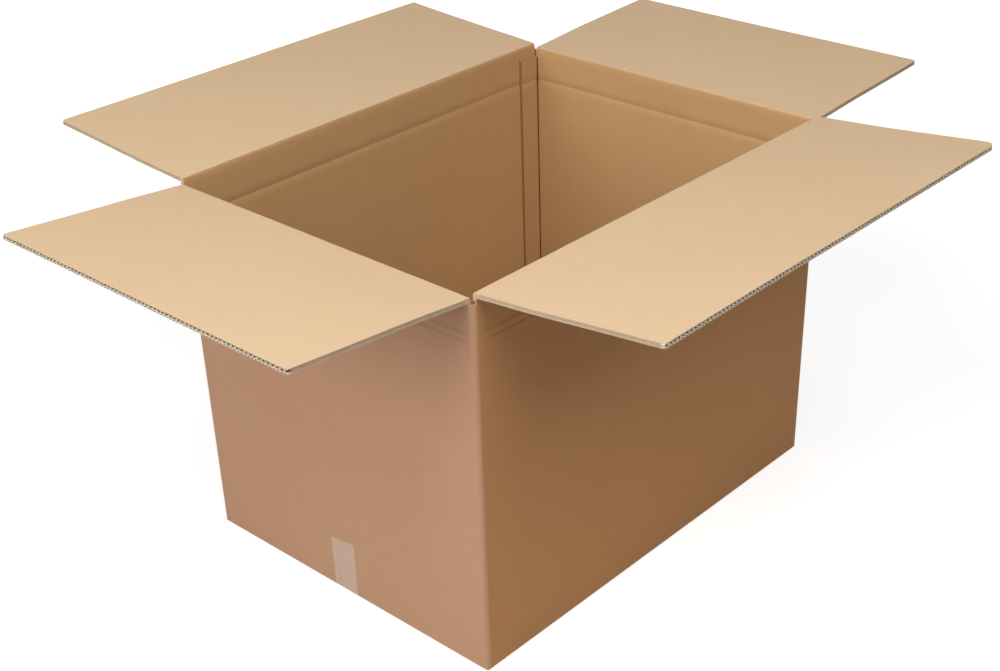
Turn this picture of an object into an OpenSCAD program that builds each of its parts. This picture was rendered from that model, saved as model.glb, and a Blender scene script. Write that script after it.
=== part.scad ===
// Open regular slotted box of double-wall corrugated board.
// The box stands on z = 0 with its middle over the origin. The long walls run
// along X, so the front and back flaps belong to them, and the left and right
// flaps to the short walls. The bottom is folded shut and taped.

/* [Box] */
// Outside length of the long walls
box_l = 800; // [720:10:1000]
// Outside width across the long walls
box_w = 600; // [400:10:680]
// Height from the floor to the flap crease of the long walls
box_h = 604; // [350:2:800]

/* [Board] */
// Thickness of the double-wall board
board_t = 7; // [5.5:0.5:8]
// Inside radius of the upright corner folds
fold_r = 2; // [1:0.5:4]
// Outside radius of the bottom folds
foot_r = 4; // [2:0.5:5]
// Width of the crease that stays open inside each upright fold
fold_slit_w = 1.4; // [0.8:0.1:2]
// Depth of that crease from the inside corner
fold_slit_d = 2.5; // [1:0.5:3]

/* [Flutes] */
// Thickness of one of the three liner papers
liner_t = 0.3; // [0.2:0.05:0.5]
// Share of the larger flute, on the inside, in the height of both
big_share = 0.6; // [0.5:0.05:0.7]
// Pitch of the larger flute
big_pitch = 8; // [7.5:0.1:10]
// Pitch of the smaller flute
small_pitch = 6.4; // [6:0.1:7.5]
// Paper between two flute openings where they meet a liner
flute_web = 1.2; // [0.8:0.1:2]
// How far the flutes stand open behind a cut end
flute_deep = 10; // [4:1:20]

/* [Flap creases] */
// Board left where the crease line is crushed
score_t = 5; // [3:0.5:5]
// Run of the slope from the crease line to full board
score_run = 2.5; // [2:0.5:10]
// Gap left in a closed crease and between closed layers
crease_clear = 0.3; // [0.2:0.1:0.8]
// Distance of a crease's turning line from the outside of its wall
hinge_out = 0.1; // [0.1:0.1:0.5]

/* [Flaps] */
// Gap between the two long flaps where they meet
seam_gap = 4; // [1:0.5:8]
// How far the long flaps stop short of the box's ends
long_slot = 8; // [7:0.5:14]
// The same at the glued corner
joint_slot = 3; // [2:0.5:6]
// Side clearance of the short flaps between the long walls
short_clear = 1.5; // [1:0.5:4]
// Depth of the corner slots below the closed long flaps
slot_under = 1.5; // [1:0.5:6]
// Radius on the cut corners of the flaps
cut_corner_r = 3; // [1:0.5:8]
// Radius of the one corner that is worn round
worn_corner_r = 18; // [4:1:30]

/* [Open position] */
// Rise of the front flap above level, in degrees
front_angle = 6; // [0:0.5:20]
// Rise of the back flap above level, in degrees
back_angle = 4; // [0:0.5:20]
// Rise of the left flap above level, in degrees
left_angle = 5; // [0:0.5:20]
// Rise of the right flap above level, in degrees
right_angle = 2.5; // [0:0.5:20]

/* [Pressed line] */
// Distance of the pressed height line below the long creases
press_drop = 58; // [40:1:200]
// Width of the groove that it leaves inside
press_w = 22; // [14:1:30]
// Depth of that groove
press_d = 1.4; // [0.8:0.1:2]
// Distance between the two faint lines that it leaves outside
mark_pitch = 13; // [8:1:20]
// Width of one faint line
mark_w = 6; // [4:0.5:8]
// Depth of one faint line
mark_d = 0.6; // [0.3:0.1:1]

/* [Glued corner] */
// Width of the glue tab inside the back wall
tab_w = 42; // [30:1:60]
// Thickness of the tab where it is pressed
tab_t = 4.5; // [3:0.5:6]
// Gap from the tab's foot to the folded bottom
tab_foot = 3; // [1:0.5:12]
// How far the back wall's cut end stops short of the right wall's face
joint_inset = 1; // [0.5:0.5:2]

/* [Tape] */
// Width of the tape on the bottom seam
tape_w = 50; // [38:1:75]
// Thickness of the tape
tape_t = 0.2; // [0.1:0.05:0.4]
// Height that the tape reaches up the short walls
tape_up = 95; // [50:1:150]
// Rise of its torn ends across the tape
tape_slant = 6; // [0:1:15]

/* [Hidden] */
$fn = 64;

board_colour = "#c79f74";
tape_colour = "#d2b699";

// Cutters and joined plates reach this far past the face that they cross
over = 1;

inner_l = box_l - 2 * board_t;
inner_w = box_w - 2 * board_t;
corner_r = fold_r + board_t;

// The short creases lie a board lower, so that the short flaps close under the long ones
flap_drop = board_t + crease_clear;
short_h = box_h - flap_drop;
short_end = box_w / 2 - board_t - short_clear;
long_end = box_l / 2 - long_slot;
joint_end = box_l / 2 - joint_slot;

// All flaps are equally long, top and bottom
flap_l = (box_w - seam_gap) / 2;

// The flap's mitre starts here, which leaves the crease gap when it is shut
flap_back = 2 * hinge_out + (sqrt(2) - 1) * crease_clear;

// The corner posts between the slots, measured from the outside faces of the long walls
post_w = board_t + short_clear / 2;
post_end = box_w / 2 - post_w;
slot_h = box_h - board_t - slot_under;
bottom_h = 2 * board_t;
press_h = box_h - press_drop;

// The outside lines end this far from a wall's ends, clear of the corner folds and of the lap
mark_stop = corner_r + board_t;

// Share of a pressed line's mean slope that its shoulders lose at the rim and gain at the bottom
shoulder = 0.65;

// Rows of flutes through the board, outside first: pitch, height of the base and of the tip
flute_core = board_t - 3 * liner_t;
small_top = liner_t + flute_core * (1 - big_share);
flute_rows = [
  [small_pitch, liner_t, small_top],
  [big_pitch, board_t - liner_t, small_top + liner_t]
];
tab_top = short_h - hinge_out - board_t - slot_under;

// Rectangle with rounded corners, centred
module rounded_plan(l, w, r) {
  square([l - 2 * r, w], center = true);
  square([l, w - 2 * r], center = true);
  for (x = [-1, 1], y = [-1, 1])
    translate([x * (l / 2 - r), y * (w / 2 - r)])
      circle(r);
}

// Waste outside a rounded edge, with the edge's sharp corner at the origin
module edge_waste(r) {
  difference() {
    translate([-over, -over])
      square(r + over);
    translate([r, r])
      circle(r);
  }
}

// Outline of the walls from above: three round corners and the glued one,
// where the right wall folds inside the back wall's cut end
module outer_plan() {
  lap = 2 * corner_r;
  difference() {
    rounded_plan(box_l, box_w, corner_r);
    translate([box_l / 2 - lap, box_w / 2 - lap])
      square(lap + over);
  }
  translate([box_l / 2 - lap, box_w / 2 - lap])
    difference() {
      square([lap, lap - board_t]);
      translate([lap, lap - board_t])
        rotate(180)
          edge_waste(board_t);
    }
  translate([box_l / 2 - lap, box_w / 2 - board_t])
    square([lap - joint_inset, board_t]);
}

// Places a shape drawn for a wall whose inside is +X at the wall's outer face
module at_front() {
  translate([0, -box_w / 2, 0])
    rotate([0, 0, 90])
      children();
}

module at_back() {
  translate([0, box_w / 2, 0])
    rotate([0, 0, -90])
      children();
}

module at_left() {
  translate([-box_l / 2, 0, 0])
    children();
}

module at_right() {
  translate([box_l / 2, 0, 0])
    rotate([0, 0, 180])
      children();
}

// Extrudes a section, X inwards and Y up, along the wall from s0 to s1
module along_wall(s0, s1) {
  translate([0, s1, 0])
    rotate([90, 0, 0])
      linear_extrude(s1 - s0)
        children();
}

// Waste above a wall's crushed and mitred top edge, with the crease at the origin
module rim_waste() {
  mitre_foot = crease_clear + score_t;
  polygon([
    [-over, over - crease_clear],
    [score_t, -mitre_foot],
    [board_t, -mitre_foot - score_run],
    [board_t + over, -mitre_foot - score_run],
    [board_t + over, flap_drop + over],
    [-over, flap_drop + over]
  ]);
}

module rim_cut(h, s0, s1) {
  translate([0, 0, h])
    along_wall(s0, s1)
      rim_waste();
}

// Waste of a line pressed into a face at x = 0: two round shoulders that meet in a sharp bottom
module groove(w, d) {
  chord = norm([d, w / 2]);
  r = chord / 2 / sin(shoulder * atan2(d, w / 2));
  lift = sqrt(r * r - chord * chord / 4) / chord;
  difference() {
    translate([-over, -w / 2 - over])
      square([d + over, w + 2 * over]);
    for (side = [-1, 1])
      translate([d / 2 + lift * w / 2, side * (w / 4 + lift * d)])
        circle(r);
  }
}

module press_cuts(outer_run, s0, s1) {
  translate([0, 0, press_h]) {
    along_wall(s0, s1)
      translate([board_t, 0])
        mirror([1, 0])
          groove(press_w, press_d);
    for (z = [-1, 1])
      translate([0, 0, z * mark_pitch / 2])
        along_wall(-outer_run / 2, outer_run / 2)
          groove(mark_w, mark_d);
  }
}

module foot_cut(run) {
  along_wall(-run / 2 - over, run / 2 + over)
    edge_waste(foot_r);
}

// What one wall loses: the rim from -s0 to s1, the pressed line and the foot's edge
module wall_cuts(h, run, s0, s1, press_end) {
  rim_cut(h, -s0, s1);
  press_cuts(run - 2 * mark_stop, board_t - run / 2, press_end);
  foot_cut(run);
}

// Notch between two neighbouring flaps, down to just under the closed long flaps
module corner_slot(sx, sy, inset) {
  translate([
    sx > 0 ? box_l / 2 - inset : -box_l / 2 - over,
    sy > 0 ? box_w / 2 - post_w : -box_w / 2 - over,
    slot_h
  ])
    cube([inset + over, post_w + over, box_h - slot_h + over]);
}

// Bottom flaps, the long pair outside and the short pair on top of it
module bottom_flaps() {
  for (y = [-1, 1])
    translate([-long_end, y > 0 ? seam_gap / 2 : board_t / 2 - box_w / 2, 0])
      cube([2 * long_end, (box_w - board_t - seam_gap) / 2, board_t]);
  for (x = [-1, 1])
    translate([
      x > 0 ? box_l / 2 - flap_l : board_t / 2 - box_l / 2,
      -short_end,
      board_t
    ])
      cube([flap_l - board_t / 2, 2 * short_end, board_t]);
}

// Open creases inside the four upright folds, the last between the right wall and its tab
module fold_slits() {
  for (p = [
    [-inner_l / 2, -inner_w / 2, 45],
    [inner_l / 2, -inner_w / 2, -45],
    [-inner_l / 2, inner_w / 2, -45],
    [inner_l / 2, inner_w / 2 - tab_t, 45]
  ])
    translate([p[0], p[1], bottom_h])
      linear_extrude(box_h)
        rotate(p[2])
          square([2 * fold_slit_d, fold_slit_w], center = true);
}

// Tab of the right wall, glued flat inside the back wall
module glue_tab() {
  base = bottom_h + tab_foot;
  translate([inner_l / 2 - tab_w, inner_w / 2 - tab_t, base])
    cube([tab_w + over, tab_t, tab_top - base]);
}

module tab_press_cut() {
  translate([inner_l / 2 - tab_w / 2, inner_w / 2 - tab_t, press_h])
    rotate([0, 0, 90])
      along_wall(-tab_w / 2 - over, tab_w / 2 + over)
        groove(press_w, press_d);
}

// Side view of the box's foot, from which the tape's path is taken
module foot_outline(l, r, h) {
  translate([-l / 2, r])
    square([l, h - r]);
  translate([r - l / 2, 0])
    square([l - 2 * r, h]);
  for (x = [-1, 1])
    translate([x * (l / 2 - r), r])
      circle(r);
}

// Tape along the bottom seam and up both short walls, pressed flush into the board
module tape_strip() {
  reach = tape_up + tape_slant;
  intersection() {
    translate([0, tape_w, 0])
      rotate([90, 0, 0])
        linear_extrude(2 * tape_w)
          difference() {
            foot_outline(box_l, foot_r, reach);
            translate([0, tape_t])
              foot_outline(box_l - 2 * tape_t, foot_r - tape_t, reach);
          }
    translate([-box_l / 2 - over, 0, 0])
      rotate([90, 0, 90])
        linear_extrude(box_l + 2 * over)
          polygon([
            [-tape_w / 2, -over],
            [tape_w / 2, -over],
            [tape_w / 2, tape_up - tape_slant / 2],
            [-tape_w / 2, tape_up + tape_slant / 2]
          ]);
  }
}

// The folded sheet: four walls, the glue tab and the closed bottom
module box_body() {
  color(board_colour)
    difference() {
      union() {
        linear_extrude(box_h)
          difference() {
            outer_plan();
            rounded_plan(inner_l, inner_w, fold_r);
          }
        bottom_flaps();
        glue_tab();
      }
      at_front()
        wall_cuts(box_h, box_l, long_end, long_end, inner_l / 2);
      at_back()
        wall_cuts(box_h, box_l, long_end, joint_end, inner_l / 2 - tab_w);
      at_left()
        wall_cuts(short_h, box_w, post_end, post_end, inner_w / 2);
      at_right()
        wall_cuts(short_h, box_w, post_end, post_end, inner_w / 2);
      for (x = [-1, 1], y = [-1, 1])
        corner_slot(x, y, x > 0 && y > 0 ? joint_slot : long_slot);
      fold_slits();
      tab_press_cut();
      tape_strip();
    }
}

// Section of an upright flap, outside face on x = 0 and crease at the origin
module flap_section(len) {
  polygon([
    [0, flap_back],
    [score_t, flap_back + score_t],
    [board_t, flap_back + score_t + score_run],
    [board_t, len],
    [0, len]
  ]);
}

// Corner points of a row's openings between s0 and s1, three to each flute
function flute_points(row, s0, s1) =
  let (count = floor((s1 - s0) / row[0]), start = (s0 + s1 - count * row[0]) / 2)
  [for (i = [0 : count - 1])
    let (a = start + i * row[0] + flute_web / 2, b = a + row[0] - flute_web)
    each [[row[1], a], [row[1], b], [row[2], (a + b) / 2]]];

// Cut end of the board from -s0 to s1, with the flutes open between the rounded corners
module flute_end(s0, s1, r0, r1) {
  rim = [[0, -s0], [board_t, -s0], [board_t, s1], [0, s1]];
  holes = [for (row = flute_rows) each flute_points(row, r0 + flute_web - s0, s1 - r1 - flute_web)];
  first = len(rim);
  polygon(
    concat(rim, holes),
    concat(
      [[0, 1, 2, 3]],
      [for (i = [first : 3 : first + len(holes) - 1]) [i, i + 1, i + 2]]
    )
  );
}

// Outline of a flap seen from inside the box, with the radii of its two cut corners
module flap_outline(len, s0, s1, r0, r1) {
  difference() {
    translate([-s0, 0])
      square([s0 + s1, len]);
    translate([-s0, len])
      mirror([0, 1])
        edge_waste(r0);
    translate([s1, len])
      mirror([1, 0])
        mirror([0, 1])
          edge_waste(r1);
  }
}

// Flap from -s0 to s1 along its wall, swung out to the given rise above level
module flap(h, len, rise, s0, s1, r0, r1) {
  translate([-hinge_out, 0, h])
    rotate([0, rise - 90, 0])
      translate([hinge_out, 0, 0])
        intersection() {
          union() {
            along_wall(-s0, s1)
              flap_section(len - flute_deep);
            translate([0, 0, len - flute_deep])
              linear_extrude(flute_deep)
                flute_end(s0, s1, r0, r1);
          }
          translate([-over, 0, 0])
            rotate([90, 0, 90])
              linear_extrude(board_t + 2 * over)
                flap_outline(len, s0, s1, r0, r1);
        }
}

module front_flap() {
  color(board_colour)
    at_front()
      flap(box_h, flap_l, front_angle, long_end, long_end, worn_corner_r, cut_corner_r);
}

module back_flap() {
  color(board_colour)
    at_back()
      flap(box_h, flap_l, back_angle, long_end, joint_end, cut_corner_r, cut_corner_r);
}

module left_flap() {
  color(board_colour)
    at_left()
      flap(short_h, flap_l, left_angle, short_end, short_end, cut_corner_r, cut_corner_r);
}

module right_flap() {
  color(board_colour)
    at_right()
      flap(short_h, flap_l, right_angle, short_end, short_end, cut_corner_r, cut_corner_r);
}

module seam_tape() {
  color(tape_colour)
    tape_strip();
}

box_body();
front_flap();
back_flap();
left_flap();
right_flap();
seam_tape();
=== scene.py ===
"""Open cardboard box: board, creases, materials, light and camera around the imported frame."""
import math
from types import SimpleNamespace
import bmesh
import bpy
from mathutils import Matrix, Vector, noise

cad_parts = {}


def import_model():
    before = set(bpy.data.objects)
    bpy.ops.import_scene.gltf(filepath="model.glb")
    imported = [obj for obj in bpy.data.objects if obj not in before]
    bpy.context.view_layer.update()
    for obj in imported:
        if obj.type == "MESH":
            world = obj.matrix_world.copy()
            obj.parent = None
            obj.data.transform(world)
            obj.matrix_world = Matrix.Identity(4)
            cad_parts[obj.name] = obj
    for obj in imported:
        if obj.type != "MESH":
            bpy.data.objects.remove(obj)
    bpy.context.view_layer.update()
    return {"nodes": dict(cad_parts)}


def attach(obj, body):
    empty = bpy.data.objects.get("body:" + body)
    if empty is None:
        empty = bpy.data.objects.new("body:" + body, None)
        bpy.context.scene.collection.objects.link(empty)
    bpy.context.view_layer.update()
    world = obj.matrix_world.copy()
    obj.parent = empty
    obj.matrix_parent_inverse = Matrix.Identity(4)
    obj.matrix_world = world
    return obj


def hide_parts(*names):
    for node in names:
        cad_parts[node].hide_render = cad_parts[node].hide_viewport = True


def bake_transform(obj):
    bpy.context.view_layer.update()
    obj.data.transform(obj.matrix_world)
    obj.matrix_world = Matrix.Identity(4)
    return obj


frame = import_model()

# Sizes of the part in metres, as in the solids
BOX_L, BOX_W, BOX_H = 0.800, 0.600, 0.604
BOARD = 0.007
CREASE_CLEAR = 0.0003
HINGE_OUT = 0.0001
SHORT_H = BOX_H - BOARD - CREASE_CLEAR
SEAM_GAP, LONG_SLOT, SHORT_CLEAR, SLOT_UNDER = 0.004, 0.008, 0.0015, 0.0015
FLAP_L = (BOX_W - SEAM_GAP) / 2
LONG_END = BOX_L / 2 - LONG_SLOT
SHORT_END = BOX_W / 2 - BOARD - SHORT_CLEAR
CUT_R, WORN_R = 0.003, 0.018
TAPE_W = 0.050

# Slot at the glued corner, 4 mm wider than in the solids to leave room for the bent crease
JOINT_SLOT = 0.007
JOINT_END = BOX_L / 2 - JOINT_SLOT

# Mitre of a flap at its crease: (through the board, out along the flap)
FLAP_BACK, SCORE_T, SCORE_RUN = 0.00033, 0.005, 0.0025
MITRE = ((0.0, FLAP_BACK), (SCORE_T, FLAP_BACK + SCORE_T), (BOARD, FLAP_BACK + SCORE_T + SCORE_RUN))

# Glue tab: its width and thickness, and where its free edge, face and top lie
TAB_W, TAB_T = 0.042, 0.0045
TAB_X = BOX_L / 2 - BOARD - TAB_W
TAB_Y = BOX_W / 2 - BOARD - TAB_T
TAB_TOP = SHORT_H - HINGE_OUT - BOARD - SLOT_UNDER

# Pressed line: its drop below the long creases, and the distance between its two marks outside
PRESS_DROP, MARK_PITCH = 0.058, 0.013
PRESS_Z = BOX_H - PRESS_DROP
MARK_OFF = MARK_PITCH / 2

# Bow of a flap: its mean, and the run from the crease over which it grows
BOW, BOW_RUN = 0.0014, 0.12

# Unevenness of the bow: height, waves along the flap and out along it, and step from seed to seed
SWELL = (0.0016, 2.6, 3.4, 7.3)
RIPPLE = (0.0003, 9.0, 5.0, 3.1)

# Pieces that a flap's plane is cut into for its bow, along the crease and out from it
GRID_ALONG, GRID_OUT = 40, 15

# The papers of the board through its thickness, outside first
LINER = 0.00035
MID_LOW, MID_HIGH = 0.0027, 0.00305
FLUTES = (
    {"pitch": 0.0064, "low": LINER, "high": MID_LOW, "phase": 0.3, "paper": 0.0009, "side": 0.0004},
    {"pitch": 0.0079, "low": MID_HIGH, "high": BOARD - LINER, "phase": 0.0, "paper": 0.0006,
     "side": 0.0009},
)

# Angle to a metre of the larger flute, whose ribs show through the liners
FLUTE_TURN = 2 * math.pi / FLUTES[1]["pitch"]

# How far the core is drawn in at a flap's cut end and at its crease. Its corner radii lose a share of
# that, down to a least radius.
END_IN, ROOT_IN = 0.006, 0.0004
CORE_SHRINK, CORE_R = 0.6, 0.0006

# Fluted paper: points to a flute, how far its crests press into the liners and its foot into the core
FLUTE_STEPS = 12
PRESS_IN, FOOT_IN = 0.00006, 0.001

# How far it lies behind the liners at the cut, and how uneven the cut, its turns and its height are
CUT_BACK, CUT_RAGGED = 0.0002, 0.00025
JITTER_ALONG, JITTER_ROW = 30, 900
TURN_JITTER, HEIGHT_JITTER = 0.5, 0.05

# Section of a bent crease in millimetres. Points of the wall are (in from its outside, up from the
# crease), and points of the flap are (through its board, out along it).
MM = 0.001
BEND_FOOT = ((6.50, -11.05), (7.02, -11.0))
BEND_X, BEND_Z, BEND_IN, BEND_RISE = 7.05, -9.5, 1.5, 14.6
BEND_TURN, BEND_STEPS = 80, 8
VALLEY_WALL, VALLEY_FLAP = (5.35, 5.35), (4.5, 4.25)
FLAP_FACE = ((6.6, -4.45), (6.96, -4.0), (7.04, -3.0), (7.05, 2.0), (7.02, 8.6), (6.5, 8.65), (4.8, 5.7))
FLAP_UNDER = ((0.3, 1.2), (-0.02, 1.3))
WALL_UNDER = ((-0.22, -0.2), (-0.02, -1.3), (0.3, -1.2), (4.8, -5.7), (6.5, -8.3))

# Its end clearance, its rings, and the waves in the section's points round the bend
FOLD_CLEAR, FOLD_RINGS = 0.0004, 160
CRUSHED = range(3, 16)
CRUSH_X, CRUSH_Z = 0.00018, 0.00022
CRUSH_ALONG, CRUSH_ROUND, CRUSH_SEED = 22, 0.35, 5

# Points on a rounded corner, edges sharper than this in degrees, and the map's run through the board
CORNER_STEPS = 10
SHARP = 32
MAP_THROUGH = 0.3

# Slots of the materials of a flap and of a crease fold
FACE_IN, FACE_OUT, CUT_LINER, FLUTE, HOLLOW, SIDE = range(6)
FOLD_WALL, FOLD_FLAP, FOLD_OUT, FOLD_CUT = range(4)

# Each wall with a flap: its crease, the ways inwards and along it, the flap's rise in degrees, its two
# ends and corner radii, the seed of its unevenness, and the side of the board to which it bows
WALLS = {
    "front": {"crease": (0, -BOX_W / 2, BOX_H), "inward": (0, 1, 0), "along": (-1, 0, 0), "rise": 6.0,
              "ends": (LONG_END, LONG_END), "radii": (WORN_R, CUT_R), "seed": 1.0, "bow": -1},
    "back": {"crease": (0, BOX_W / 2, BOX_H), "inward": (0, -1, 0), "along": (1, 0, 0), "rise": 4.0,
             "ends": (LONG_END, JOINT_END), "radii": (CUT_R, CUT_R), "seed": 2.0, "bow": -1},
    "left": {"crease": (-BOX_L / 2, 0, SHORT_H), "inward": (1, 0, 0), "along": (0, 1, 0), "rise": 5.0,
             "ends": (SHORT_END, SHORT_END), "radii": (CUT_R, CUT_R), "seed": 3.0, "bow": 1},
    "right": {"crease": (BOX_L / 2, 0, SHORT_H), "inward": (-1, 0, 0), "along": (0, -1, 0), "rise": 2.5,
              "ends": (SHORT_END, SHORT_END), "radii": (CUT_R, CUT_R), "seed": 4.0, "bow": 1},
}


def wall_point(wall, x, s, z):
    """A point x inwards from the wall's outside, s along it and z above its crease."""
    point = Vector(wall["crease"]) + Vector(wall["inward"]) * x
    return point + Vector(wall["along"]) * s + Vector((0, 0, z))


def swing(wall, u, v):
    """The (x, z) of a flap's point, u through the board from the outside and v from the crease."""
    a = math.radians(wall["rise"])
    x = (u + HINGE_OUT) * math.sin(a) - v * math.cos(a) - HINGE_OUT
    z = (u + HINGE_OUT) * math.cos(a) + v * math.sin(a)
    return x, z


def flap_point(wall, u, s, v):
    """The place of a flap's point, u through the board, s along the crease and v out from it."""
    x, z = swing(wall, u, v)
    return wall_point(wall, x, s, z)


def smooth(t):
    """A soft step from 0 to 1."""
    t = min(max(t, 0.0), 1.0)
    return t * t * (3 - 2 * t)


def uneven(kind, s, v, seed):
    """Height of one kind of unevenness at a flap's point."""
    height, along, out, step = kind
    return height * noise.noise(Vector((s * along, v * out, seed * step)))


def warp(wall, s, v):
    """How far the board bows off its flat plane, nothing at the crease and always to one side."""
    seed = wall["seed"]
    lift = max(BOW + uneven(SWELL, s, v, seed) + uneven(RIPPLE, s, v, seed), 0.0)
    return smooth(v / BOW_RUN) * wall["bow"] * lift


def mitre(u):
    """Where the flap begins at the height u through the board."""
    for (u0, v0), (u1, v1) in zip(MITRE, MITRE[1:]):
        if u <= u1:
            return v0 + (v1 - v0) * (u - u0) / (u1 - u0)
    return MITRE[-1][1]


def outline(wall, root, side, end):
    """Points (s, v) round a flap that is drawn in by side and end from its cut edges."""
    s0, s1 = wall["ends"]
    left, right, top = side - s0, s1 - side, FLAP_L - end
    r0, r1 = (max(r - end * CORE_SHRINK, CORE_R) for r in wall["radii"])
    pts = [(left, root)]
    for middle, r, start in ((left + r0, r0, math.pi), (right - r1, r1, math.pi / 2)):
        for i in range(CORNER_STEPS + 1):
            a = start - i * math.pi / 2 / CORNER_STEPS
            pts.append((middle + r * math.cos(a), top - r + r * math.sin(a)))
    pts.append((right, root))
    return pts


def cut_line(wall, s):
    """The v of a flap's cut end at s, with its rounded corners."""
    s0, s1 = wall["ends"]
    for r, d in zip(wall["radii"], (s + s0, s1 - s)):
        if d < r:
            return FLAP_L - r + math.sqrt(max(r * r - (r - d) ** 2, 0.0))
    return FLAP_L


def new_object(name, bm, materials):
    """An object in the scene from a mesh in the making, smooth apart from its sharp edges."""
    me = bpy.data.meshes.new(name)
    bmesh.ops.recalc_face_normals(bm, faces=bm.faces)
    bm.to_mesh(me)
    bm.free()
    me.polygons.foreach_set("use_smooth", [True] * len(me.polygons))
    me.set_sharp_from_angle(angle=math.radians(SHARP))
    for m in materials:
        me.materials.append(m)
    obj = bpy.data.objects.new(name, me)
    bpy.context.scene.collection.objects.link(obj)
    return obj


def add_ribbon(bm, wall, row, coords):
    """One fluted paper between two liners, from the board's core to its cut end."""
    s0, s1 = wall["ends"]
    a, b = row["side"] / 2 - s0, s1 - row["side"] / 2
    half = row["paper"] / 2
    mid = (row["low"] + row["high"]) / 2
    crest = (row["high"] - row["low"]) / 2 - half + PRESS_IN
    back = FLAP_L - END_IN - FOOT_IN
    count = int((b - a) / row["pitch"] * FLUTE_STEPS)
    rings = []
    for i in range(count + 1):
        s = a + (b - a) * i / count
        jitter = noise.noise(Vector((s * JITTER_ALONG, row["pitch"] * JITTER_ROW, wall["seed"])))
        turn = 2 * math.pi * (s / row["pitch"] + row["phase"]) + TURN_JITTER * jitter
        u = mid + crest * math.sin(turn) * (1 - HEIGHT_JITTER * abs(jitter))
        front = cut_line(wall, s) - CUT_BACK - CUT_RAGGED * abs(jitter)
        ring = []
        for du, v in ((half, back), (half, front), (-half, front), (-half, back)):
            vert = bm.verts.new((0, 0, 0))
            coords[vert] = (u + du, s, v)
            ring.append(vert)
        rings.append(ring)
    faces = [bm.faces.new(rings[0]), bm.faces.new(reversed(rings[-1]))]
    for p, q in zip(rings, rings[1:]):
        for k in range(4):
            faces.append(bm.faces.new((p[k], q[k], q[k - 3], p[k - 3])))
    for face in faces:
        face.material_index = FLUTE


def add_liners(bm, wall):
    """The flat board as one shell, (s, v, u): three liners to the cut edges and the core drawn in."""
    levels = [(0, None)]
    for row in FLUTES:
        levels += [(row["low"], None), (row["low"], row), (row["high"], row), (row["high"], None)]
    levels.append((BOARD, None))
    rings = []
    for u, row in levels:
        if row:
            pts = outline(wall, mitre(u) + ROOT_IN, row["side"], END_IN)
        else:
            pts = outline(wall, mitre(u), 0, 0)
        rings.append([bm.verts.new((s, v, u)) for s, v in pts])
    bm.faces.new(reversed(rings[0])).material_index = FACE_OUT
    bm.faces.new(rings[-1]).material_index = FACE_IN
    for (_, row_a), (_, row_b), p, q in zip(levels, levels[1:], rings, rings[1:]):
        for k in range(len(p)):
            face = bm.faces.new((p[k], p[k - 1], q[k - 1], q[k]))
            if not (row_a or row_b):
                face.material_index = CUT_LINER
            elif row_a and row_b and k in (1, len(p) - 1):
                face.material_index = SIDE
            else:
                face.material_index = HOLLOW


def slice_up(bm, axis, start, length, count):
    """Cuts across an axis of the flat board, into equal pieces."""
    for n in range(1, count):
        geom = bm.verts[:] + bm.edges[:] + bm.faces[:]
        place = Vector(axis) * (start + length * n / count)
        bmesh.ops.bisect_plane(bm, geom=geom, plane_co=place, plane_no=axis)


def flap_board(name, wall, materials):
    """A flap as its papers, with open flutes at the cut end, bowed and swung to its place."""
    bm = bmesh.new()
    s0, s1 = wall["ends"]
    add_liners(bm, wall)
    slice_up(bm, (1, 0, 0), -s0, s0 + s1, GRID_ALONG)
    slice_up(bm, (0, 1, 0), 0, FLAP_L, GRID_OUT)
    coords = {}
    for vert in bm.verts:
        coords[vert] = (vert.co.z, vert.co.x, vert.co.y)
    for row in FLUTES:
        add_ribbon(bm, wall, row, coords)
    uv = bm.loops.layers.uv.new("board")
    for face in bm.faces:
        for loop in face.loops:
            u, s, v = coords[loop.vert]
            loop[uv].uv = (s, v + u * MAP_THROUGH)
    for vert, (u, s, v) in coords.items():
        vert.co = flap_point(wall, u + warp(wall, s, v), s, v)
    return new_object(name, bm, materials)


def fold_profile(wall):
    """Section of the bent crease, (x, z, slot), from the wall's inside over the bend and back under it."""
    bend = []
    for i in range(BEND_STEPS + 1):
        a = math.radians(BEND_TURN) * i / BEND_STEPS
        bend.append((BEND_X - BEND_IN * (1 - math.cos(a)), BEND_Z + BEND_RISE * math.sin(a)))

    def on_wall(*points):
        return [(x * MM, z * MM) for x, z in points]

    def on_flap(*points):
        return [swing(wall, u * MM, v * MM) for u, v in points]

    stretches = (
        (FOLD_WALL, on_wall(*BEND_FOOT, *bend, VALLEY_WALL)),
        (FOLD_FLAP, on_wall(VALLEY_FLAP) + on_flap(*FLAP_FACE)),
        (FOLD_OUT, on_flap(*FLAP_UNDER) + on_wall(*WALL_UNDER)),
    )
    return [(x, z, slot) for slot, points in stretches for x, z in points]


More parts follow.
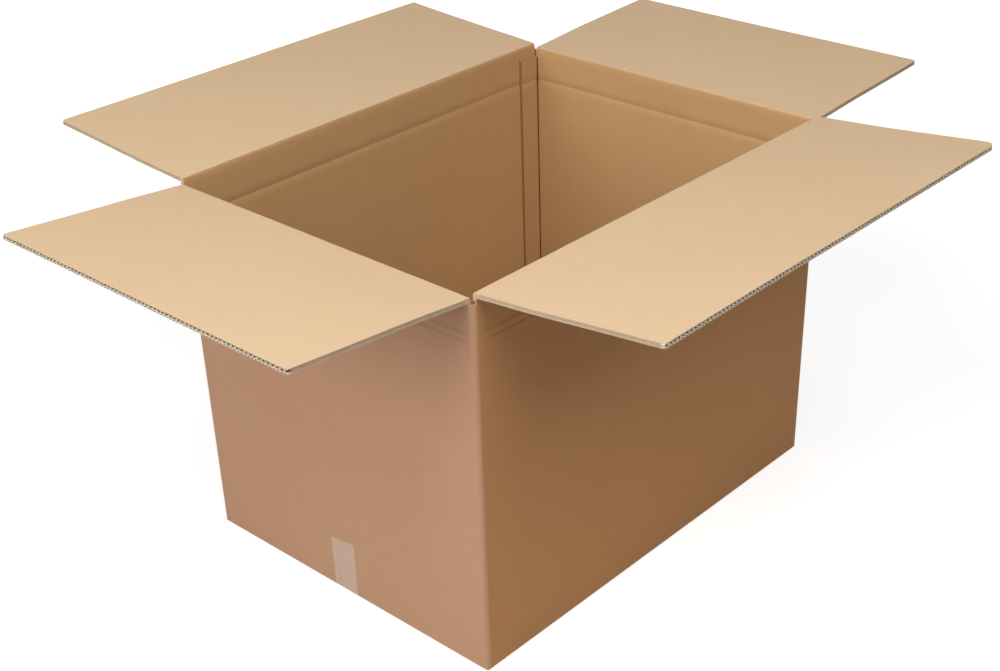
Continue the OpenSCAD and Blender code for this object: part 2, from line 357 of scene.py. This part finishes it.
def crease_fold(name, wall, materials):
    """The crushed and bent strip of the sheet between a wall and its flap."""
    bm = bmesh.new()
    uv = bm.loops.layers.uv.new("board")
    s0, s1 = wall["ends"]
    a, b = FOLD_CLEAR - s0, s1 - FOLD_CLEAR
    profile = fold_profile(wall)
    reach = [0.0]
    for p, q in zip(profile, profile[1:]):
        reach.append(reach[-1] + math.dist(p[:2], q[:2]))
    rings, place = [], {}
    for i in range(FOLD_RINGS + 1):
        s = a + (b - a) * i / FOLD_RINGS
        ring = []
        for k, (x, z, _) in enumerate(profile):
            if k in CRUSHED:
                wave = noise.noise(Vector((s * CRUSH_ALONG, k * CRUSH_ROUND, wall["seed"] * CRUSH_SEED)))
                x += CRUSH_X * wave
                z += CRUSH_Z * wave
            vert = bm.verts.new(wall_point(wall, x, s, z))
            place[vert] = (s, reach[k])
            ring.append(vert)
        rings.append(ring)
    bm.faces.new(rings[0]).material_index = FOLD_CUT
    bm.faces.new(reversed(rings[-1])).material_index = FOLD_CUT
    for p, q in zip(rings, rings[1:]):
        for k, (_, _, slot) in enumerate(profile):
            after = (k + 1) % len(profile)
            bm.faces.new((p[k], q[k], q[after], p[after])).material_index = slot
    for face in bm.faces:
        for loop in face.loops:
            loop[uv].uv = place[loop.vert]
    return new_object(name, bm, materials)


class Nodes:
    """Shorthand for the node tree of a material or of the world."""

    def __init__(self, owner, shader="Principled BSDF"):
        owner.use_nodes = True
        self.owner = owner
        self.tree = owner.node_tree
        self.shader = self.tree.nodes[shader]

    def add(self, kind, **values):
        node = self.tree.nodes.new(kind)
        for key, value in values.items():
            setattr(node, key, value)
        return node

    def put(self, socket, value):
        """Links an output to a socket, or writes a constant there."""
        if hasattr(value, "links"):
            self.tree.links.new(value, socket)
        else:
            socket.default_value = value

    def math(self, operation, a, b=0.0, c=0.0):
        node = self.add("ShaderNodeMath", operation=operation)
        for socket, value in zip(node.inputs, (a, b, c)):
            self.put(socket, value)
        return node.outputs[0]

    def times(self, a, b):
        return self.math("MULTIPLY", a, b)

    def plus(self, a, b):
        return self.math("ADD", a, b)

    def minus(self, a, b):
        return self.math("SUBTRACT", a, b)

    def size(self, a):
        return self.math("ABSOLUTE", a)

    def above(self, a, level):
        return self.math("GREATER_THAN", a, level)

    def near(self, a, level, reach):
        return self.math("COMPARE", a, level, reach)

    def inverse(self, a):
        return self.minus(1.0, a)

    def most(self, first, *others):
        for other in others:
            first = self.math("MAXIMUM", first, other)
        return first

    def choose(self, pick, a, b):
        """a where pick is 1, and b where it is 0."""
        return self.plus(self.times(pick, a), self.times(self.inverse(pick), b))

    def split(self, vector):
        node = self.add("ShaderNodeSeparateXYZ")
        self.put(node.inputs[0], vector)
        return node.outputs

    def combine(self, x, y, z):
        node = self.add("ShaderNodeCombineXYZ")
        for socket, value in zip(node.inputs, (x, y, z)):
            self.put(socket, value)
        return node.outputs[0]

    def noise(self, vector, scale, detail=2.0, rough=0.5):
        node = self.add("ShaderNodeTexNoise")
        self.put(node.inputs["Vector"], vector)
        node.inputs["Scale"].default_value = scale
        node.inputs["Detail"].default_value = detail
        node.inputs["Roughness"].default_value = rough
        return node.outputs["Fac"]

    def grain(self, along, up, side, kind):
        """Noise that is stretched by its own scales along and up."""
        along_scale, up_scale, detail, rough = kind
        place = self.combine(self.times(along, along_scale), self.times(up, up_scale), side)
        return self.noise(place, 1.0, detail, rough)

    def spread(self, value, low, high, out_low, out_high):
        node = self.add("ShaderNodeMapRange")
        for socket, v in zip(node.inputs, (value, low, high, out_low, out_high)):
            self.put(socket, v)
        return node.outputs[0]

    def shade(self, value, low, high, depth):
        """A factor round 1 that is depth darker at low and depth lighter at high."""
        return self.spread(value, low, high, 1 - depth, 1 + depth)

    def mix(self, factor, a, b):
        node = self.add("ShaderNodeMix", data_type="RGBA")
        self.put(node.inputs[0], factor)
        self.put(node.inputs[6], a)
        self.put(node.inputs[7], b)
        return node.outputs[2]

    def scale(self, colour, factor):
        node = self.add("ShaderNodeVectorMath", operation="SCALE")
        self.put(node.inputs[0], colour)
        self.put(node.inputs["Scale"], factor)
        return node.outputs[0]

    def bump(self, height, strength, distance):
        node = self.add("ShaderNodeBump")
        node.inputs["Strength"].default_value = strength
        node.inputs["Distance"].default_value = distance
        self.put(node.inputs["Height"], height)
        self.put(self.shader.inputs["Normal"], node.outputs[0])

    def finish(self, colour, rough, specular):
        self.put(self.shader.inputs["Base Color"], colour)
        self.put(self.shader.inputs["Roughness"], rough)
        self.shader.inputs["Specular IOR Level"].default_value = specular

    def background_rays(self):
        """1 for the rays that show the background: from the camera, a gloss or glass."""
        path = self.add("ShaderNodeLightPath").outputs
        return self.most(path["Is Camera Ray"], path["Is Glossy Ray"], path["Is Transmission Ray"])


# Tones of the papers: each drifts between a paler and a warmer one
FLAP_TONES = (0.725, 0.517, 0.318, 1), (0.715, 0.502, 0.303, 1)
# Inside walls: the flaps' paper made darker and warmer as painted shade of the box's inside
IN_SHADE_TONES = (0.55, 0.33, 0.15, 1), (0.54, 0.318, 0.14, 1)
# Outside of the short walls and of the flaps: the same paper, paler and pinker as a painted sheen
SHORT_SHEEN_TONES = (0.475, 0.266, 0.156, 1), (0.465, 0.255, 0.146, 1)
# Outside of the long walls: the same paper, darker and browner as painted shade
LONG_SHADE_TONES = (0.46, 0.223, 0.083, 1), (0.45, 0.213, 0.076, 1)
# Tone of the painted shade lines in the folds, round the tab and at the marks, and of the faint ribs
SHADE_AND_RIB_TONE = (0.23, 0.115, 0.048, 1)
CUT_TONE, FLUTE_TONE = (0.85, 0.72, 0.55), (0.84, 0.70, 0.52)
# The hollows of the open flutes at a cut end are painted dark as their shade
HOLLOW_SHADE_TONE, SIDE_TONE, FOLD_CUT_TONE = (0.17, 0.11, 0.06), (0.52, 0.38, 0.24), (0.56, 0.41, 0.26)
TAPE_TONE = (0.51, 0.35, 0.258)

# Grain of the paper: scales along the wall and up it, detail and roughness
FIBRE = (420.0, 1500.0, 3.0, 0.6)
SPECK = (700.0, 900.0, 1.0, 0.5)
STREAK = (150.0, 1.6, 2.0, 0.5)
DRIFT = (12.0, 3.0, 1.0, 0.5)
RIB_DRIFT = (14.0, 3.0, 2.0, 0.5)
TAPE_STREAK = (260.0, 9.0, 3.0, 0.5)
CLOUD_SCALE, PATCH_SCALE = 5.0, 38.0
CUT_GRAIN, CUT_SLOW = 900.0, 90.0
TAPE_CLOUD, TAPE_FIBRE = 60.0, 1400.0

# Share of the streaks in a flap's and in the body's tone, and of the flutes in those streaks
FLAP_STREAKS, BODY_STREAKS, FLUTE_SHARE = 0.008, 0.012, 0.35

# Shade of a speck, the swing of the roughness, and the parts of the bump
SPECK_SHADE, ROUGH_LESS, ROUGH_MORE = 0.90, 0.06, 0.08
WASH_HEIGHT, STREAK_HEIGHT, FIBRE_HEIGHT = 0.55, 0.5, 0.35

# Width and shade of the darker rim of the tape
TAPE_RIM, TAPE_RIM_SHADE = 0.0015, 0.93

# Dark lines on the body, painted shade in the inside folds and at the pressed marks, painted shadow with
# the dark cut flutes at the tab's edges, and the faint ribs: width in an inside fold, reach at the tab's
# edges, and strengths
FOLD_W, EDGE_BAND, TAB_NEAR = 0.0012, 0.0008, 0.002
TAB_EDGE_DARK, TAB_END_DARK = 0.75, 0.4
RIB_DARK, TAB_RIB_DARK = 0.06, 0.2
MARK_DARK, MARK_CORE, MARK_EDGE = 0.17, 0.0004, 0.0042
MARK_STOP, MARK_FULL = 0.003, 0.022

# A face is level where its normal is this steep, and turns from a long to a short wall between these
LEVEL_FROM = 0.7
TURN_FROM, TURN_TO = 0.05, 0.45

# Middle of the upper of the two layers of the bottom
UPPER_LAYER = BOARD * 1.5


def new_material(name):
    """The nodes of a fresh material."""
    return Nodes(bpy.data.materials.new(name))


def body_place(n):
    """Where a point of the folded body lies, from its place and from which way its face looks.

    side is 1 on the short walls and the short bottom flaps, and 0 on the long ones.
    """
    coords = n.add("ShaderNodeTexCoord").outputs
    x, y, z = n.split(coords["Object"])
    nx, ny, nz = (n.size(part) for part in n.split(coords["Normal"]))
    level = n.above(nz, LEVEL_FROM)
    top_layer = n.above(z, UPPER_LAYER)
    side = n.choose(level, top_layer, n.above(nx, ny))
    within_x = n.math("LESS_THAN", n.size(x), BOX_L / 2 - BOARD / 2)
    within_y = n.math("LESS_THAN", n.size(y), BOX_W / 2 - BOARD / 2)
    return SimpleNamespace(
        x=x, y=y, z=z, level=level, side=side,
        along=n.choose(side, y, x),
        up=n.choose(level, n.choose(side, x, y), z),
        short=n.choose(level, top_layer, n.spread(nx, TURN_FROM, TURN_TO, 0.0, 1.0)),
        inside=n.times(n.times(within_x, within_y), n.above(z, BOARD / 2)),
        on_tab=n.times(n.above(x, TAB_X - EDGE_BAND), n.above(y, TAB_Y - TAB_NEAR)),
    )


def fold_shade_lines(n, at):
    """Painted shade in the inside folds, and dark lines round the glue tab, partly its cut flutes and
    partly painted shadow of its step.
    """
    fold_x = BOX_L / 2 - BOARD - FOLD_W
    fold_y = BOX_W / 2 - BOARD - FOLD_W
    # The tab's edges: dark partly as their cut flutes and partly as painted shadow in the tab's step
    free_edge = n.times(n.near(at.x, TAB_X, EDGE_BAND), TAB_EDGE_DARK)
    tab_end = n.times(n.near(at.z, TAB_TOP, EDGE_BAND), TAB_END_DARK)
    tab = n.times(at.on_tab, n.most(free_edge, tab_end, n.above(at.x, fold_x)))
    # Painted shade in the inside corner folds
    folds = n.times(n.above(n.size(at.x), fold_x), n.above(n.size(at.y), fold_y))
    return n.times(n.most(tab, folds), at.inside)


def rib_lines(n, at):
    """Faint ribs of the flutes on the inside, stronger on the pressed tab."""
    rib = n.math("SINE", n.times(at.along, FLUTE_TURN))
    drift = n.grain(at.along, at.up, at.side, RIB_DRIFT)
    ribs = n.times(n.spread(rib, -1.0, 1.0, 0.0, 1.0), n.spread(drift, 0.3, 0.7, 0.4, 1.0))
    return n.times(n.times(ribs, at.inside), n.spread(at.on_tab, 0.0, 1.0, RIB_DARK, TAB_RIB_DARK))


def mark_shade_lines(n, at):
    """Two soft marks of the pressed line on the outside, darkened as painted shade, which fade towards the
    corners.
    """
    from_mark = n.size(n.minus(n.size(n.minus(at.z, PRESS_Z)), MARK_OFF))
    from_corner = n.minus(n.spread(at.side, 0.0, 1.0, BOX_L / 2, BOX_W / 2), n.size(at.along))
    marks = n.times(n.spread(from_mark, MARK_CORE, MARK_EDGE, MARK_DARK, 0.0), n.inverse(at.inside))
    marks = n.times(marks, n.spread(from_corner, MARK_STOP, MARK_FULL, 0.0, 1.0))
    return n.times(marks, n.inverse(at.level))


def paper(n, along, up, side, tones, streaks, rough, specular):
    """Kraft paper: cloudy tone, fibres across the flutes, faint flute streaks and a fine bump."""
    cloud = n.noise(n.combine(along, up, side), CLOUD_SCALE)
    patch = n.noise(n.combine(along, up, side), PATCH_SCALE)
    fibre, speck, streak, drift = (n.grain(along, up, side, kind) for kind in (FIBRE, SPECK, STREAK, DRIFT))
    flute = n.math("SINE", n.times(along, FLUTE_TURN))
    wash = n.times(flute, n.spread(drift, 0.35, 0.7, 0.15, 1.0))
    factor = n.shade(fibre, 0.25, 0.75, depth=0.035)
    factor = n.times(factor, n.shade(streak, 0.2, 0.8, depth=streaks))
    factor = n.times(factor, n.spread(speck, 0.66, 0.76, 1.0, SPECK_SHADE))
    factor = n.times(factor, n.shade(patch, 0.3, 0.7, depth=0.01))
    factor = n.times(factor, n.shade(wash, -1.0, 1.0, depth=streaks * FLUTE_SHARE))
    colour = n.scale(n.mix(n.spread(cloud, 0.3, 0.7, 0.0, 1.0), *tones), factor)
    n.finish(colour, n.spread(fibre, 0.2, 0.8, rough - ROUGH_LESS, rough + ROUGH_MORE), specular)
    height = n.plus(n.times(wash, WASH_HEIGHT), n.times(streak, STREAK_HEIGHT))
    height = n.plus(height, n.times(fibre, FIBRE_HEIGHT))
    n.bump(height, strength=0.28, distance=0.00025)


def liner_material(name, tones, rough, specular):
    """Paper of a piece that carries its own map, in metres."""
    n = new_material(name)
    along, up, _ = n.split(n.add("ShaderNodeUVMap", uv_map="board").outputs[0])
    paper(n, along, up, 0.0, tones, FLAP_STREAKS, rough, specular)
    return n.owner


def body_material():
    """Paper of the folded body, with its tones inside and on the long and short walls: darker inside and
    browner on the long walls as painted shade, paler on the short walls as a painted sheen, with painted
    shade lines in the folds and at the marks.
    """
    n = new_material("kraft_body")
    at = body_place(n)
    dark = n.most(fold_shade_lines(n, at), rib_lines(n, at), mark_shade_lines(n, at))
    tones = []
    for long, short, inside in zip(LONG_SHADE_TONES, SHORT_SHEEN_TONES, IN_SHADE_TONES):
        tone = n.mix(at.inside, n.mix(at.short, long, short), inside)
        tones.append(n.mix(dark, tone, SHADE_AND_RIB_TONE))
    paper(n, at.along, at.up, at.side, tones, BODY_STREAKS, rough=0.7, specular=0.35)
    return n.owner


def edge_material(name, tone, depth):
    """Cut paper with an uneven grain."""
    n = new_material(name)
    place = n.add("ShaderNodeTexCoord").outputs["Object"]
    grain = n.noise(place, CUT_GRAIN, 3.0, 0.65)
    slow = n.noise(place, CUT_SLOW)
    factor = n.times(n.shade(grain, 0.25, 0.75, depth), n.shade(slow, 0.3, 0.7, depth=0.07))
    n.finish(n.scale(tone, factor), rough=0.9, specular=0.2)
    return n.owner


def tape_material():
    """Paper tape: pale, with faint streaks along its run, darker edges and a soft gloss."""
    n = new_material("paper_tape")
    place = n.add("ShaderNodeTexCoord").outputs["Object"]
    x, y, z = n.split(place)
    streak = n.grain(y, z, x, TAPE_STREAK)
    cloud = n.noise(place, TAPE_CLOUD, 3.0)
    fibre = n.noise(place, TAPE_FIBRE)
    factor = n.times(n.shade(streak, 0.3, 0.7, depth=0.05), n.shade(cloud, 0.3, 0.7, depth=0.03))
    factor = n.times(factor, n.shade(fibre, 0.3, 0.7, depth=0.02))
    factor = n.times(factor, n.spread(n.size(y), TAPE_W / 2 - TAPE_RIM, TAPE_W / 2, 1.0, TAPE_RIM_SHADE))
    n.finish(n.scale(TAPE_TONE, factor), rough=0.5, specular=0.4)
    n.bump(streak, strength=0.2, distance=0.0002)
    return n.owner


inside_liner = liner_material("kraft_inside", FLAP_TONES, rough=0.75, specular=0.25)
# The inside of the walls at the crease folds, in the darker tones of painted shade
shaded_wall_liner = liner_material("kraft_wall_shaded", IN_SHADE_TONES, rough=0.75, specular=0.25)
# Outside of the flaps and the crease folds, in the short walls' tones with their painted sheen
outside_liner = liner_material("kraft_outside", SHORT_SHEEN_TONES, rough=0.62, specular=0.35)
cut_edge = edge_material("cut_liner", CUT_TONE, depth=0.12)
flute_paper = edge_material("flute_paper", FLUTE_TONE, depth=0.15)
# Hollows of the open flutes, painted dark as their shade
hollow = edge_material("flute_hollow_shade", HOLLOW_SHADE_TONE, depth=0.2)
side_paper = edge_material("flute_side", SIDE_TONE, depth=0.2)
fold_end = edge_material("fold_end", FOLD_CUT_TONE, depth=0.12)
board_set = (inside_liner, outside_liner, cut_edge, flute_paper, hollow, side_paper)
fold_set = (shaded_wall_liner, inside_liner, outside_liner, fold_end)

# Flaps and crease folds
for side, wall in WALLS.items():
    flap = flap_board(side + "_flap_board", wall, board_set)
    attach(flap, side + "_flap")
    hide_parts(side + "_flap")
    fold = crease_fold(side + "_crease_fold", wall, fold_set)
    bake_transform(fold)


def dress(node, material):
    """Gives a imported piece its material."""
    obj = frame["nodes"][node]
    obj.data.materials.clear()
    obj.data.materials.append(material)


dress("box_body", body_material())
dress("seam_tape", tape_material())

# Floor: half its side, its depth below the box, its grey, and its glow from the middle to far away
FLOOR_HALF, FLOOR_DROP, FLOOR_GREY = 9.0, 0.0003, (0.6, 0.6, 0.6, 1)
GLOW_NEAR, GLOW_FAR, GLOW_LOW, GLOW_HIGH = 1.1, 2.6, 0.7, 1.0
WHITE = (1, 1, 1, 1)

# Light of the world on the object
WORLD_LIGHT = 0.16

# Camera of the photograph, fitted to the box's edges: heading, height and roll in degrees, and lens
HEADING, HEIGHT, ROLL = -46.544, 31.339, -1.963
CAMERA_PLACE = (-1.67706, -1.55118, 1.51614)
SENSOR, LENS, SHIFT_UP = 36.0, 57.409, 0.0845


def floor_material():
    """Pale floor that the camera sees as white, with the object's shadow kept on it."""
    n = new_material("studio_floor")
    n.finish(FLOOR_GREY, rough=1.0, specular=0.0)
    away = n.add("ShaderNodeVectorMath", operation="LENGTH")
    n.put(away.inputs[0], n.add("ShaderNodeTexCoord").outputs["Object"])
    glow = n.spread(away.outputs["Value"], GLOW_NEAR, GLOW_FAR, GLOW_LOW, GLOW_HIGH)
    n.shader.inputs["Emission Color"].default_value = WHITE
    n.put(n.shader.inputs["Emission Strength"], n.times(n.background_rays(), glow))
    return n.owner


def floor():
    """The floor, a large square just below the box and apart from it."""
    bm = bmesh.new()
    bmesh.ops.create_grid(bm, x_segments=1, y_segments=1, size=FLOOR_HALF)
    bmesh.ops.translate(bm, verts=bm.verts, vec=(0, 0, -FLOOR_DROP))
    obj = new_object("studio_floor", bm, (floor_material(),))


def lamp(name, place, target, size, power):
    """A square soft lamp at a place, turned to its target."""
    data = bpy.data.lights.new(name, "AREA")
    data.shape = "SQUARE"
    data.size = size
    data.energy = power
    obj = bpy.data.objects.new(name, data)
    obj.location = place
    obj.rotation_mode = "QUATERNION"
    obj.rotation_quaternion = (Vector(target) - Vector(place)).to_track_quat("-Z", "Y")
    bpy.context.scene.collection.objects.link(obj)


def world():
    """White where it is seen, and soft light on the object elsewhere."""
    n = Nodes(bpy.data.worlds.new("studio"), "Background")
    n.shader.inputs["Color"].default_value = WHITE
    n.put(n.shader.inputs["Strength"], n.spread(n.background_rays(), 0.0, 1.0, WORLD_LIGHT, 1.0))
    bpy.context.scene.world = n.owner


def camera():
    """The photograph's view."""
    azimuth, elevation, roll = (math.radians(v) for v in (HEADING, HEIGHT, ROLL))
    back = Vector((math.sin(azimuth) * math.cos(elevation), -math.cos(azimuth) * math.cos(elevation),
                   math.sin(elevation)))
    right = Vector((math.cos(azimuth), math.sin(azimuth), 0))
    up = back.cross(right)
    turned = right * math.cos(roll) + up * math.sin(roll)
    above = up * math.cos(roll) - right * math.sin(roll)
    data = bpy.data.cameras.new("photo_view")
    data.sensor_fit = "HORIZONTAL"
    data.sensor_width = SENSOR
    data.lens = LENS
    data.shift_y = SHIFT_UP
    obj = bpy.data.objects.new("photo_view", data)
    bpy.context.scene.collection.objects.link(obj)
    matrix = Matrix((turned, above, back)).transposed().to_4x4()
    matrix.translation = Vector(CAMERA_PLACE)
    obj.matrix_world = matrix
    bpy.context.scene.camera = obj


floor()
lamp("front", (-0.9, -3.0, 3.3), (0, 0, 0.3), size=1.7, power=58.0)
lamp("front_high", (-0.6, -2.2, 4.2), (0, -0.2, 0.3), size=1.4, power=23.0)
lamp("near_left", (-1.6, -0.6, 2.4), (-0.4, -0.2, 0.6), size=1.0, power=21.0)
lamp("left_side", (-3.2, 0.6, 1.8), (0, 0, 0.5), size=1.8, power=61.0)
lamp("behind", (2.8, 2.6, 1.2), (0, 0, 0.35), size=1.8, power=11.0)
world()
camera()
bpy.context.scene.view_settings.view_transform = "Standard"
